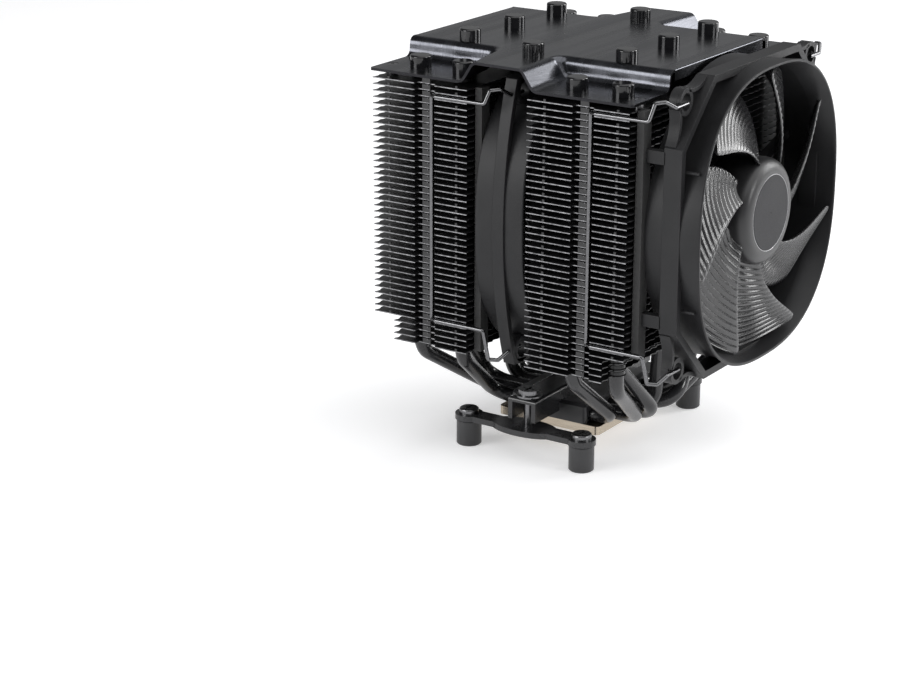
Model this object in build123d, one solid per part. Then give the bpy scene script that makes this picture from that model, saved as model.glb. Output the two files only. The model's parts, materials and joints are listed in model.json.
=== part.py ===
from build123d import *
import math
import os

# Twin-tower CPU cooler: cold plate, seven heat pipes, two fin towers, a stepped top cover, a 120 mm
# front fan, a 135 mm middle fan, wire fan clips and the mounting kit. Millimetres, +Z up.
# Origin: centre of the cold plate's contact face. The front fan is at -Y and the air flows to +Y.

# ---------------------------------------------------------------- driving dimensions

FIN_COUNT = 42
FIN_PITCH = 2.6
FIN_THICKNESS = 0.4
FIN_STACK_BOTTOM = 39.6
FIN_HALF_WIDTH = 68.0
TOWER_CENTRE = 35.8
TOWER_HALF_DEPTH = 22.2
SHORT_FIN_COUNT = 4
SHORT_FIN_CUT = 9.5
SIDE_NOTCH = (-3.8, 2.3)
SIDE_NOTCH_DEPTH = 2.5
WIRE_GROOVE = (-6.0, -4.0)
WIRE_GROOVE_DEPTH = 1.9
WIRE_GROOVE_FLARE = 1.2

PIPE_RADIUS = 3.0
PIPE_HOLE_GAP = 0.05
PIPE_BASE_PITCH = 7.0
PIPE_AXIS_Z = 6.65
PIPE_BEND_Y = [35.0, 41.0, 35.0, 29.0]
PIPE_BEND_RADIUS = 9.0
PIPE_RISE_Z = 33.0
PIPE_TOP_ABOVE_COVER = 3.2
# column places in a tower, seen from its centre: x, y, and whether it rises through the raised panel
PIPE_COLUMNS = [
    (-55.5, -12.3, False), (-55.5, 7.7, False), (-33.0, -0.7, True), (0.0, -0.7, True),
    (33.0, -0.7, True), (55.5, 7.7, False), (55.5, -12.3, False),
]

PLATE_HALF_X = 27.0
PLATE_HALF_Y = 24.0
PLATE_THICKNESS = 3.6
BLOCK_HALF_Y = 18.0
BLOCK_TOP_Z = 12.0

COVER_THICKNESS = 1.5
COVER_TOP_Z = 157.9
FLANGE_TOP_Z = 150.1
COVER_HALF_Y = 59.4
RAISED_HALF_X = 40.0
BULGE_FLAT = {RAISED_HALF_X: (-9.5, 17.0), FIN_HALF_WIDTH: (-11.0, 11.5)}
BULGE_FOOT = {RAISED_HALF_X: (-13.8, 21.0), FIN_HALF_WIDTH: (-16.3, 16.5)}
COVER_LIP_DROP = 4.4
CAP_RADIUS = 4.25
CAP_HEIGHT = 4.9
CAP_EDGE = 0.8
COVER_SCREW_XY = (57.0, 56.0)

PLUG_X = 42.0
PLUG_SHANK_RADIUS = 3.4
PLUG_SHANK_LENGTH = 3.2
PLUG_CLEARANCE = 0.06
PLUG_FLUTES = 20

BRACKET_X = 45.0
POST_Y = 27.0
POST_RADIUS = 5.2
POST_BOTTOM_Z = -8.0
POST_TOP_Z = 3.0
POST_SCREW_RADIUS = 1.75
BRACKET_THICKNESS = 2.4
BRIDGE_HALF_X = 47.5
BRIDGE_HALF_Y = 6.5
BRIDGE_TOP_Z = 17.4
BRIDGE_WALL = 2.0
BRIDGE_SCREW_X = 42.0

PAD_INNER_X = 56.5
PAD_OUTER_X = 62.0
PAD_THICKNESS = 3.0

FAN_HOLE_SPACING = 105.0
FAN_HOLE_RADIUS = 3.4
EAR_RADIUS = 5.25
EAR_SPAN = (7.6, 12.2)
EAR_RING_HEIGHT = 2.6
EAR_STRAP = 1.8
BLADE_COUNT = 7
HUB_RADIUS = 21.4
HUB_INNER_RADIUS = 20.0
MOTOR_PLATE_RADIUS = 20.6
SHAFT_RADIUS = 1.5
BEARING_CLEARANCE = 0.03
BADGE_RADIUS = 15.2

FRONT_FAN = {
    "centre_z": 97.6, "rear_y": -61.0, "depth": 25.0, "throat": 58.3,
    "blade_tip": 57.0, "phase": 42.0, "tip_depth": 12.2, "arm_levels": (5, 40),
}
MIDDLE_FAN = {
    "centre_z": 93.5, "rear_y": 10.6, "depth": 22.0, "throat": 59.4,
    "blade_tip": 58.0, "phase": 20.0, "tip_depth": 12.2, "arm_levels": (4, 39),
}
RAIL_SPAN = (7.6, 15.1)
RAIL_HALF = 60.0
RAIL_STRAIGHT = 36.0
RAIL_WIDTH = 3.0
RIM_HALF = 59.2
RIM_POWER = 2.5
RIM_FRONT = 23.2
MIDDLE_HALF_X = 66.8
MIDDLE_HALF_Z = 61.8
MIDDLE_POWER = 2.6
BAND_SPAN = (8.6, 13.8)
BAND_HALF_X = 67.8
BAND_HALF_Z = 62.3

WIRE_RADIUS = 0.8
CLIP_LEG_X = 67.2
CLIP_ARM_X = 69.0
CLIP_REACH = 32.2
CLIP_PIVOT_X = 55.0
CLIP_TIP_RISE = 51.8

# ---------------------------------------------------------------- shared shapes

TOWERS = {"rear": 1, "front": -1}
SIDES = {"left": -1, "right": 1}


def block(low, high):
    """Box between two corner points."""
    size = [b - a for a, b in zip(low, high)]
    middle = [(a + b) / 2 for a, b in zip(low, high)]
    return Pos(*middle) * Box(*size)


def post(radius, bottom, top, x=0.0, y=0.0):
    """Upright cylinder from z = bottom to z = top."""
    return Pos(x, y, (bottom + top) / 2) * Cylinder(radius, top - bottom)


def tube(outer, inner, bottom, top):
    """Upright ring from z = bottom to z = top."""
    return post(outer, bottom, top) - post(inner, bottom, top)


def rounded_path(points, radius):
    """Straight runs through the points, joined by tangent arcs."""
    places = [Vector(*p) for p in points]
    edges = []
    start = places[0]
    for before, corner, after in zip(places, places[1:], places[2:]):
        back = (before - corner).normalized()
        ahead = (after - corner).normalized()
        half_turn = back.get_angle(ahead) / 2
        reach = radius / math.tan(math.radians(half_turn))
        bisector = (back + ahead).normalized()
        dip = radius / math.sin(math.radians(half_turn)) - radius
        edges.append(Edge.make_line(start, corner + back * reach))
        edges.append(Edge.make_three_point_arc(
            corner + back * reach, corner + bisector * dip, corner + ahead * reach))
        start = corner + ahead * reach
    edges.append(Edge.make_line(start, places[-1]))
    return Wire(edges)


def round_sweep(points, radius, bend):
    """Round bar along a rounded path."""
    path = rounded_path(points, bend)
    section = Plane(origin=path @ 0, z_dir=path % 0) * Circle(radius)
    return sweep(section, path=path)


def save(node, *solids):
    """Write the solids of one node."""
    shape = solids[0] if len(solids) == 1 else Compound(children=list(solids))
    export_step(shape, os.path.join("parts", node + ".step"))


# ---------------------------------------------------------------- base and heat pipes


def column_xy(column, direction):
    """Place of a heat pipe column; the two towers hold the same pattern."""
    x, y, _ = column
    return x, direction * TOWER_CENTRE + y


def pipe_top(column):
    """Upper end of a heat pipe, inside its cap."""
    surface = COVER_TOP_Z if column[2] else FLANGE_TOP_Z
    return surface + PIPE_TOP_ABOVE_COVER


def base_pipe_x(index):
    """Place of a heat pipe in the base."""
    return (index - (len(PIPE_COLUMNS) - 1) / 2) * PIPE_BASE_PITCH


def front_column(index):
    """Front column of a pipe. The outermost pipes take the columns nearest the middle fan."""
    swap = {0: 1, 1: 0, 5: 6, 6: 5}
    return PIPE_COLUMNS[swap.get(index, index)]


def heat_pipe(index):
    """One U-shaped heat pipe, from the top of the rear tower to the top of the front tower."""
    x = base_pipe_x(index)
    bend_y = PIPE_BEND_Y[abs(index - len(PIPE_COLUMNS) // 2)]
    rear, front = PIPE_COLUMNS[index], front_column(index)
    rear_x, rear_y = column_xy(rear, 1)
    front_x, front_y = column_xy(front, -1)
    return round_sweep([
        (rear_x, rear_y, pipe_top(rear)),
        (rear_x, rear_y, PIPE_RISE_Z),
        (x, bend_y, PIPE_AXIS_Z),
        (x, -bend_y, PIPE_AXIS_Z),
        (front_x, front_y, PIPE_RISE_Z),
        (front_x, front_y, pipe_top(front)),
    ], PIPE_RADIUS, PIPE_BEND_RADIUS)


def pipe_channels():
    """Grooves with a round top that the pipes lie in, open to the block's underside."""
    radius = PIPE_RADIUS + PIPE_HOLE_GAP
    reach = BLOCK_HALF_Y + 1
    channels = []
    for index in range(len(PIPE_COLUMNS)):
        x = base_pipe_x(index)
        groove = Pos(x, 0, PIPE_AXIS_Z) * Rot(90, 0, 0) * Cylinder(radius, 2 * reach)
        channels.append(groove + block((x - radius, -reach, 0), (x + radius, reach, PIPE_AXIS_Z)))
    return channels


def cold_plate():
    """Plated copper plate whose underside meets the processor."""
    plate = block((-PLATE_HALF_X, -PLATE_HALF_Y, 0), (PLATE_HALF_X, PLATE_HALF_Y, PLATE_THICKNESS))
    return fillet(plate.edges().filter_by(Axis.Z), 2.0)


def base_block():
    """Black block over the heat pipes."""
    body = block(
        (-PLATE_HALF_X, -BLOCK_HALF_Y, PLATE_THICKNESS), (PLATE_HALF_X, BLOCK_HALF_Y, BLOCK_TOP_Z))
    body = fillet(body.edges().filter_by(Axis.Z), 2.0)
    body = chamfer(body.faces().sort_by(Axis.Z)[-1].edges(), 1.2)
    return body - pipe_channels()


# ---------------------------------------------------------------- fin towers


def fin_outline(direction, short):
    """Plan of one fin about its tower's centre."""
    w, d = FIN_HALF_WIDTH, TOWER_HALF_DEPTH
    front = -d + (SHORT_FIN_CUT if short and direction < 0 else 0)
    rear = d - (SHORT_FIN_CUT if short and direction > 0 else 0)
    plan = Pos(0, (front + rear) / 2) * Rectangle(2 * w, rear - front)
    notch_middle = sum(SIDE_NOTCH) / 2
    for side in SIDES.values():
        plan -= Pos(side * w, notch_middle) * Rectangle(2 * SIDE_NOTCH_DEPTH, SIDE_NOTCH[1] - SIDE_NOTCH[0])
        groove = Polygon(
            (side * (w + 1), WIRE_GROOVE[1]), (side * (w - WIRE_GROOVE_DEPTH), WIRE_GROOVE[1]),
            (side * (w - WIRE_GROOVE_DEPTH), WIRE_GROOVE[0]),
            (side * (w + 1), WIRE_GROOVE[0] - WIRE_GROOVE_FLARE), align=None)
        plan -= groove
    for x, y, _ in PIPE_COLUMNS:
        plan -= Pos(x, y) * Circle(PIPE_RADIUS + PIPE_HOLE_GAP)
    return plan


def fin_stack(direction):
    """All fins of one tower; the lowest ones are cut back on the tower's outer side."""
    full = extrude(fin_outline(direction, False), FIN_THICKNESS)
    short = extrude(fin_outline(direction, True), FIN_THICKNESS)
    fins = []
    for level in range(FIN_COUNT):
        fin = short if level < SHORT_FIN_COUNT else full
        height = FIN_STACK_BOTTOM + level * FIN_PITCH
        fins.append(Pos(0, direction * TOWER_CENTRE, height) * fin)
    return fins


def fin_stack_top():
    """Upper face of the top fin."""
    return FIN_STACK_BOTTOM + (FIN_COUNT - 1) * FIN_PITCH + FIN_THICKNESS


def gap_between_fins(level):
    """Height of the middle of the gap above a fin."""
    return FIN_STACK_BOTTOM + level * FIN_PITCH + (FIN_PITCH + FIN_THICKNESS) / 2


def tower_pads(direction):
    """Two rubber strips on the tower's front face that carry a fan."""
    face = direction * TOWER_CENTRE - TOWER_HALF_DEPTH
    low = FIN_STACK_BOTTOM + (SHORT_FIN_COUNT * FIN_PITCH if direction < 0 else 0)
    pads = []
    for side in SIDES.values():
        inner, outer = sorted((side * PAD_INNER_X, side * PAD_OUTER_X))
        pads.append(block((inner, face - PAD_THICKNESS, low), (outer, face, fin_stack_top())))
    return pads


# ---------------------------------------------------------------- top cover


def bulge(side, inset, reach):
    """Wide middle of the raised panel, over the middle fan. Its ends are open."""
    top = COVER_TOP_Z - inset
    foot = FLANGE_TOP_Z - COVER_THICKNESS
    wires = []
    for x in (RAISED_HALF_X - 6, FIN_HALF_WIDTH + reach):
        blend = (x - RAISED_HALF_X) / (FIN_HALF_WIDTH - RAISED_HALF_X)

        def at(table, end):
            near, far = table[RAISED_HALF_X][end], table[FIN_HALF_WIDTH][end]
            return near + (far - near) * blend

        wires.append(Wire.make_polygon([
            (side * x, at(BULGE_FOOT, 0) + inset, foot),
            (side * x, at(BULGE_FLAT, 0) + inset, top),
            (side * x, at(BULGE_FLAT, 1) - inset, top),
            (side * x, at(BULGE_FOOT, 1) - inset, foot),
        ], close=True))
    return Solid.make_loft(wires, ruled=True)


def top_cover():
    """Bent sheet: a raised panel, four lower flanges and short lips at the front and rear."""
    foot = FLANGE_TOP_Z - COVER_THICKNESS
    t = COVER_THICKNESS
    raised = block((-RAISED_HALF_X, -COVER_HALF_Y, foot), (RAISED_HALF_X, COVER_HALF_Y, COVER_TOP_Z))
    hollow = block(
        (-RAISED_HALF_X + t, -COVER_HALF_Y + t, foot - 1),
        (RAISED_HALF_X - t, COVER_HALF_Y - t, COVER_TOP_Z - t))
    for side in SIDES.values():
        raised += bulge(side, 0, 0)
        hollow += bulge(side, t, 1)
        hollow += bulge(side, t, 1).moved(Location((0, 0, -1)))
    for side in SIDES.values():
        for front, rear in ((-COVER_HALF_Y, BULGE_FOOT[RAISED_HALF_X][0]),
                            (BULGE_FOOT[FIN_HALF_WIDTH][1], COVER_HALF_Y)):
            x_low, x_high = sorted((side * (RAISED_HALF_X - t), side * FIN_HALF_WIDTH))
            raised += block((x_low, front, foot), (x_high, rear, FLANGE_TOP_Z))
    cover = raised - hollow
    for end in (-1, 1):
        y_low, y_high = sorted((end * (COVER_HALF_Y - t - 0.1), end * (COVER_HALF_Y + 1)))
        cover -= block(
            (-RAISED_HALF_X + t, y_low, foot - 1), (RAISED_HALF_X - t, y_high, COVER_TOP_Z - COVER_LIP_DROP))
    for direction in TOWERS.values():
        for column in PIPE_COLUMNS:
            x, y = column_xy(column, direction)
            cover -= post(PIPE_RADIUS + PIPE_HOLE_GAP, foot - 1, COVER_TOP_Z + 1, x, y)
    for x, y in cover_screw_places():
        cover -= post(1.35, foot - 1, FLANGE_TOP_Z + 1, x, y)
        cover -= Pos(x, y, FLANGE_TOP_Z - 0.5) * Cone(1.35, 2.4, 1.02)
    for side in SIDES.values():
        cover -= post(PLUG_SHANK_RADIUS + PLUG_CLEARANCE, COVER_TOP_Z - 3, COVER_TOP_Z + 1, side * PLUG_X)
    return cover


def cover_screw_places():
    """The four outer corners of the flanges."""
    x, y = COVER_SCREW_XY
    return [(sx * x, sy * y) for sx in (-1, 1) for sy in (-1, 1)]


def cover_screw(x, y):
    """Small countersunk screw with a recess, flush with the flange."""
    head = Pos(x, y, FLANGE_TOP_Z - 0.55) * Cone(1.35, 2.25, 0.9)
    shank = post(1.25, FLANGE_TOP_Z - 3.2, FLANGE_TOP_Z - 0.6, x, y)
    recess = Pos(x, y, FLANGE_TOP_Z) * Box(1.6, 0.4, 1.0) + Pos(x, y, FLANGE_TOP_Z) * Box(0.4, 1.6, 1.0)
    return head + shank - recess


def cover_post(x, y):
    """Threaded pillar between the top fin and the cover's flange."""
    pillar = post(2.2, fin_stack_top(), FLANGE_TOP_Z - COVER_THICKNESS, x, y)
    return pillar - post(1.27, FLANGE_TOP_Z - 3.3, FLANGE_TOP_Z, x, y)


def heat_pipe_cap(column, direction):
    """Polished cap over the end of a heat pipe."""
    x, y = column_xy(column, direction)
    surface = COVER_TOP_Z if column[2] else FLANGE_TOP_Z
    cap = post(CAP_RADIUS, surface, surface + CAP_HEIGHT, x, y)
    cap = fillet(cap.edges().sort_by(Axis.Z)[-1], CAP_EDGE)
    return cap - post(PIPE_RADIUS + PIPE_HOLE_GAP, surface, surface + PIPE_TOP_ABOVE_COVER + 0.1, x, y)


def screw_plug(side):
    """Fluted plug that closes the screwdriver hole in the cover. It pulls straight up."""
    x = side * PLUG_X
    head = post(CAP_RADIUS, COVER_TOP_Z, COVER_TOP_Z + CAP_HEIGHT, x)
    head = fillet(head.edges().sort_by(Axis.Z)[-1], CAP_EDGE)
    for k in range(PLUG_FLUTES):
        turn = 2 * math.pi * k / PLUG_FLUTES
        reach = CAP_RADIUS + 0.15
        head -= post(
            0.4, COVER_TOP_Z - 1, COVER_TOP_Z + CAP_HEIGHT - CAP_EDGE,
            x + reach * math.cos(turn), reach * math.sin(turn))
    return head + post(PLUG_SHANK_RADIUS, COVER_TOP_Z - PLUG_SHANK_LENGTH, COVER_TOP_Z, x)


# ---------------------------------------------------------------- mounting kit


def mounting_bracket(side):
    """Side bracket between two posts, widened under the end of the bridge."""
    x = side * BRACKET_X
    strip = Rectangle(8.0, 2 * POST_Y) + [Pos(0, end * POST_Y) * Circle(POST_RADIUS + 0.6) for end in (-1, 1)]
    strip += Ellipse(7.5, 15.0)
    strip -= [Pos(0, end * POST_Y) * Circle(POST_SCREW_RADIUS + 0.3) for end in (-1, 1)]
    strip -= Pos(side * (BRIDGE_SCREW_X - BRACKET_X), 0) * Circle(2.05)
    return Pos(x, 0, POST_TOP_Z) * extrude(strip, BRACKET_THICKNESS)


def mounting_bridge():
    """Inverted U beam that presses the base down between the brackets."""
    half_x, half_y, wall = BRIDGE_HALF_X, BRIDGE_HALF_Y, BRIDGE_WALL
    beam = block((-half_x, -half_y, BLOCK_TOP_Z - 4), (half_x, half_y, BRIDGE_TOP_Z))
    beam = fillet(beam.faces().sort_by(Axis.Z)[-1].edges(), 1.5)
    inside_top = BRIDGE_TOP_Z - wall
    base_x = PLATE_HALF_X + 1.5
    beam -= block((-half_x - 1, wall - half_y, 0), (half_x + 1, half_y - wall, inside_top))
    beam -= block((-base_x, -half_y - 1, 0), (base_x, half_y + 1, BLOCK_TOP_Z))
    for side in SIDES.values():
        beam -= post(2.3, inside_top - 1, BRIDGE_TOP_Z + 1, side * BRIDGE_SCREW_X)
    return beam


def bridge_screw(side):
    """Clamping screw, reached through the plug hole in the cover."""
    x = side * BRIDGE_SCREW_X
    head = post(4.2, BRIDGE_TOP_Z, BRIDGE_TOP_Z + 2.8, x) + post(5.4, BRIDGE_TOP_Z, BRIDGE_TOP_Z + 0.7, x)
    shank = post(2.0, POST_TOP_Z - 1, BRIDGE_TOP_Z, x)
    slot_z = BRIDGE_TOP_Z + 2.8
    return head + shank - Pos(x, 0, slot_z) * Box(5.2, 1.1, 2.4) - Pos(x, 0, slot_z) * Box(1.1, 5.2, 2.4)


def post_places():
    """The four mounting posts."""
    return [(sx * BRACKET_X, sy * POST_Y) for sx in (-1, 1) for sy in (-1, 1)]


def standoff(x, y):
    """Post on the board, threaded from both ends."""
    body = post(POST_RADIUS, POST_BOTTOM_Z, POST_TOP_Z, x, y)
    body = chamfer(body.edges().filter_by(GeomType.CIRCLE), 0.5)
    body -= post(POST_SCREW_RADIUS, POST_BOTTOM_Z - 1, POST_BOTTOM_Z + 4.5, x, y)
    return body - post(POST_SCREW_RADIUS + 0.02, POST_TOP_Z - 4.5, POST_TOP_Z + 1, x, y)


def standoff_screw(x, y):
    """Pan-head screw that holds a bracket on its post."""
    plate_top = POST_TOP_Z + BRACKET_THICKNESS
    head = post(4.1, plate_top, plate_top + 2.4, x, y)
    head = fillet(head.edges().sort_by(Axis.Z)[-1], 1.0)
    slots = Pos(x, y, plate_top + 2.4) * Box(4.4, 0.9, 2.0) + Pos(x, y, plate_top + 2.4) * Box(0.9, 4.4, 2.0)
    return head - slots + post(POST_SCREW_RADIUS, POST_TOP_Z - 4.0, plate_top, x, y)


# ---------------------------------------------------------------- fans
# A fan is drawn lying on its rear face: x to the right and y up as seen from the front, z forward.


def in_place(fan):
    """Location that stands a fan up at its place."""
    return Location((0, fan["rear_y"], fan["centre_z"])) * Rotation(90, 0, 0)


def superellipse(half_x, half_y, power, z):
    """Closed curve between an ellipse and a rectangle."""
    count = 40
    points = []
    for k in range(count):
        turn = 2 * math.pi * k / count
        c, s = math.cos(turn), math.sin(turn)
        reach = (abs(c / half_x) ** power + abs(s / half_y) ** power) ** (-1 / power)
        points.append((reach * c, reach * s, z))
    return Wire([Edge.make_spline([Vector(*p) for p in points], periodic=True)])


def circle_at(radius, z):
    """Closed circle at a height."""
    return Wire.make_circle(radius, Plane((0, 0, z)))


def funnel(low, high):
    """Solid between two closed curves."""
    return Solid.make_loft([low, high], ruled=True)


def corners(reach):
    """Four points on the diagonals."""
    return [(sx * reach, sy * reach) for sx in (-1, 1) for sy in (-1, 1)]


def motor_mount(fan):
    """Rear motor plate with a bearing tube, and five struts to the throat."""
    plate = post(MOTOR_PLATE_RADIUS, 0, 2.4) + tube(4.6, 3.4, 2.4, 15.0)
    for k in range(5):
        strut = block((MOTOR_PLATE_RADIUS - 1, -2.0, 0), (fan["throat"] + 0.7, 2.0, 3.0))
        plate += Rot(0, 0, 90 + 72 * k) * strut
    return plate


def ear_parts():
    """Four screw ears: a ring joined to the rail by two curved straps, with a notch for the clip wire."""
    hole = FAN_HOLE_SPACING / 2
    rim = hole + EAR_RADIUS
    low, high = EAR_SPAN
    wall = EAR_STRAP
    a, b = RAIL_HALF, RAIL_STRAIGHT
    outer = [(a, b), (58.2, 40.5), (57.5, 45.0), (rim, hole)]
    inner = [(rim - wall, hole), (57.5 - wall, 45.0), (58.2 - wall, 40.0), (a - wall - 0.5, b - 1)]
    wire_low, wire_high = CLIP_TIP_RISE - WIRE_RADIUS - 0.3, CLIP_TIP_RISE + WIRE_RADIUS + 0.3
    solids = None
    for sx, sy in corners(1):
        upright = Polygon(*outer, *inner, align=None)
        level = Polygon(*[(y, x) for x, y in outer + inner], align=None)
        ear = extrude(Pos(0, 0, low) * (upright + level), high - low)
        ear += post(EAR_RADIUS, high - EAR_RING_HEIGHT, high, hole, hole)
        ear += tube(EAR_RADIUS, EAR_RADIUS - wall, low, high).moved(Location((hole, hole, 0)))
        ear -= post(FAN_HOLE_RADIUS, low - 1, high + 1, hole, hole)
        ear -= block((hole + 1.0, wire_low, high - WIRE_RADIUS - 0.3), (rim + 2.0, wire_high, high + 1))
        if sx < 0:
            ear = ear.mirror(Plane.YZ)
        if sy < 0:
            ear = ear.mirror(Plane.XZ)
        solids = ear if solids is None else solids + ear
    return solids


def front_fan_frame():
    """Octagonal rail, round barrel, flared inlet, spacer tabs and screw ears."""
    fan = FRONT_FAN
    throat = fan["throat"]
    rail_low, rail_high = RAIL_SPAN
    wall = 1.5
    flare_start = rail_high - 1
    a, b = RAIL_HALF, RAIL_STRAIGHT
    outline = [(a, b), (b, a), (-b, a), (-a, b), (-a, -b), (-b, -a), (b, -a), (a, -b)]
    outer = Polygon(*outline, align=None)
    rail = extrude(Pos(0, 0, rail_low) * (outer - offset(outer, -RAIL_WIDTH)), rail_high - rail_low)
    flare = funnel(
        circle_at(throat + wall, flare_start),
        superellipse(RIM_HALF, RIM_HALF, RIM_POWER, RIM_FRONT))
    flare -= funnel(
        circle_at(throat, flare_start),
        superellipse(RIM_HALF - 1.3, RIM_HALF - 1.3, RIM_POWER, RIM_FRONT))
    frame = rail + tube(throat + wall, throat, 0, flare_start) + flare
    for side in SIDES.values():
        for level in (-32.0, 32.0):
            x_low, x_high = sorted((side * PAD_INNER_X, side * RAIL_HALF))
            frame += block((x_low, level - 2.5, 0), (x_high, level + 2.5, rail_low))
    frame += ear_parts()
    frame += motor_mount(fan)
    return frame - post(throat, 3.5, fan["depth"] + 1)


def middle_outline():
    """Plan of the middle fan's band: four wide arcs that meet at the ears."""
    hole = FAN_HOLE_SPACING / 2
    cx, cy = hole + EAR_RADIUS + 0.6, hole + EAR_RADIUS
    arcs = [
        ThreePointArc((cx, -cy), (BAND_HALF_X, 0), (cx, cy)),
        ThreePointArc((cx, cy), (0, BAND_HALF_Z), (-cx, cy)),
        ThreePointArc((-cx, cy), (-BAND_HALF_X, 0), (-cx, -cy)),
        ThreePointArc((-cx, -cy), (0, -BAND_HALF_Z), (cx, -cy)),
    ]
    return make_face(arcs)


def middle_fan_frame():
    """Round-cornered barrel, flared at both ends, inside a curved band with screw ears."""
    fan = MIDDLE_FAN
    depth, throat = fan["depth"], fan["throat"]
    low, high = BAND_SPAN
    hole = FAN_HOLE_SPACING / 2
    plan = middle_outline()
    barrel = extrude(make_face(superellipse(MIDDLE_HALF_X, MIDDLE_HALF_Z, MIDDLE_POWER, 0)), depth)
    band = extrude(Pos(0, 0, low) * (plan - offset(plan, -2.2)), high - low)
    frame = barrel + band
    for x, y in corners(hole):
        frame += post(EAR_RADIUS + 0.4, low, high, x, y)
    frame -= post(throat, -1, depth + 1)
    mouth_x, mouth_y = MIDDLE_HALF_X - 1.3, MIDDLE_HALF_Z - 1.3
    for throat_z, mouth_z in ((6.0, 0.0), (depth - 6.0, depth)):
        frame -= funnel(
            circle_at(throat, throat_z),
            superellipse(mouth_x, mouth_y, MIDDLE_POWER, mouth_z))
    for sx, sy in corners(1):
        frame -= post(FAN_HOLE_RADIUS, low - 1, high + 1, sx * hole, sy * hole)
        x_low, x_high = sorted((sx * (hole + 1.0), sx * (hole + EAR_RADIUS + 4)))
        y_low, y_high = sorted((
            sy * (CLIP_TIP_RISE - WIRE_RADIUS - 0.3), sy * (CLIP_TIP_RISE + WIRE_RADIUS + 0.3)))
        frame -= block((x_low, y_low, high - 3.6), (x_high, y_high, high + 1))
    return frame + motor_mount(fan)


def blade_grid(fan, radius, share, face):
    """Point on a blade: share runs from the leading edge to the trailing edge, face is -1 or 1."""
    tip = fan["blade_tip"]
    outward = (radius - HUB_RADIUS) / (tip - HUB_RADIUS)
    inward = max(0.0, 1 - outward)
    lead_turn = fan["phase"] - 37.0 * inward ** 1.45
    chord_turn = 25.0 + 10.5 * outward + 10.0 * max(0.0, math.sin(math.pi * outward)) ** 0.9
    front = fan["depth"] - 3.0 - 2.0 * inward * inward
    rear = fan["depth"] - 14.5 + 5.0 * inward ** 1.6
    camber = 1.8 * math.sin(math.pi * share)
    height = front + (rear - front) * share - camber + face * (0.85 - 0.3 * share)
    turn = math.radians(lead_turn - chord_turn * share)
    return radius * math.cos(turn), radius * math.sin(turn), height


def blade(fan):
    """One swept and twisted blade as a closed faceted solid."""
    radii = [HUB_INNER_RADIUS + 0.5, 29.0, 38.0, 47.5, fan["blade_tip"]]
    shares = [0.0, 0.25, 0.5, 0.75, 1.0]
    top = [[blade_grid(fan, r, s, 1) for s in shares] for r in radii]
    bottom = [[blade_grid(fan, r, s, -1) for s in shares] for r in radii]
    quads = []
    for i in range(len(radii) - 1):
        for j in range(len(shares) - 1):
            quads.append((top[i][j], top[i + 1][j], top[i + 1][j + 1], top[i][j + 1]))
            quads.append((bottom[i][j], bottom[i][j + 1], bottom[i + 1][j + 1], bottom[i + 1][j]))
        for j in (0, -1):
            quads.append((top[i][j], bottom[i][j], bottom[i + 1][j], top[i + 1][j]))
    for j in range(len(shares) - 1):
        for i in (0, -1):
            quads.append((top[i][j], bottom[i][j], bottom[i][j + 1], top[i][j + 1]))
    faces = []
    for p, q, r, s in quads:
        faces.append(Face(Wire.make_polygon([p, q, r], close=True)))
        faces.append(Face(Wire.make_polygon([p, r, s], close=True)))
    return Solid(Shell(faces))


def impeller(fan):
    """Domed hub cup with seven blades."""
    front = fan["depth"] - 1.8
    hub = post(HUB_RADIUS, 4.2, front)
    hub = fillet(hub.edges().sort_by(Axis.Z)[-1], 4.0)
    hub -= post(HUB_INNER_RADIUS, 4, front - 2.0)
    one = blade(fan)
    for k in range(BLADE_COUNT):
        hub += Rot(0, 0, 360 * k / BLADE_COUNT) * one
    hub -= post(HUB_INNER_RADIUS, 4, front - 2.0)
    hub -= post(BADGE_RADIUS, front - 0.3, front + 1)
    return hub - post(SHAFT_RADIUS + 0.01, front - 2.5, front - 1.0)


def motor_pieces(fan):
    """Everything inside a fan hub, by node name."""
    front = fan["depth"] - 1.8
    inside = front - 2.0
    cup_front = inside - 0.02
    stator_low, stator_high = 6.0, min(13.0, inside - 4.0)
    arms = tube(7.2, 4.65, stator_low, stator_high)
    coils = []
    for k in range(4):
        turn = Rot(0, 0, 45 + 90 * k)
        arms += turn * block((6.6, -1.6, stator_low), (15.5, 1.6, stator_high))
        shoe = tube(16.4, 14.6, stator_low, stator_high)
        arms += turn * (shoe & block((10, -9.0, stator_low), (18, 9.0, stator_high)))
        winding = block((8.0, -4.2, stator_low - 1.0), (13.4, 4.2, stator_high + 1.0))
        winding -= block((7.0, -1.65, stator_low - 0.05), (15, 1.65, stator_high + 0.05))
        coils.append(turn * winding)
    shaft = post(SHAFT_RADIUS, 3.0, inside + 0.9)
    shaft -= tube(SHAFT_RADIUS + 1, SHAFT_RADIUS - 0.3, 3.6, 4.1)
    yoke = tube(19.95, 19.0, 4.6, cup_front - 1.0)
    yoke += tube(19.95, 3.0, cup_front - 1.0, cup_front)
    return {
        "bearing": [tube(3.38, SHAFT_RADIUS + BEARING_CLEARANCE, 4.4, 14.4)],
        "circuit_board": [tube(17.5, 4.7, 2.4, 3.6)],
        "stator": [arms],
        "coils": coils,
        "impeller": [impeller(fan)],
        "yoke": [yoke],
        "magnet": [tube(18.95, 17.0, 5.2, stator_high + 1.0)],
        "shaft": [shaft],
        "badge": [post(BADGE_RADIUS - 0.05, front - 0.3, front)],
    }


# ---------------------------------------------------------------- wire clips


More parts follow.
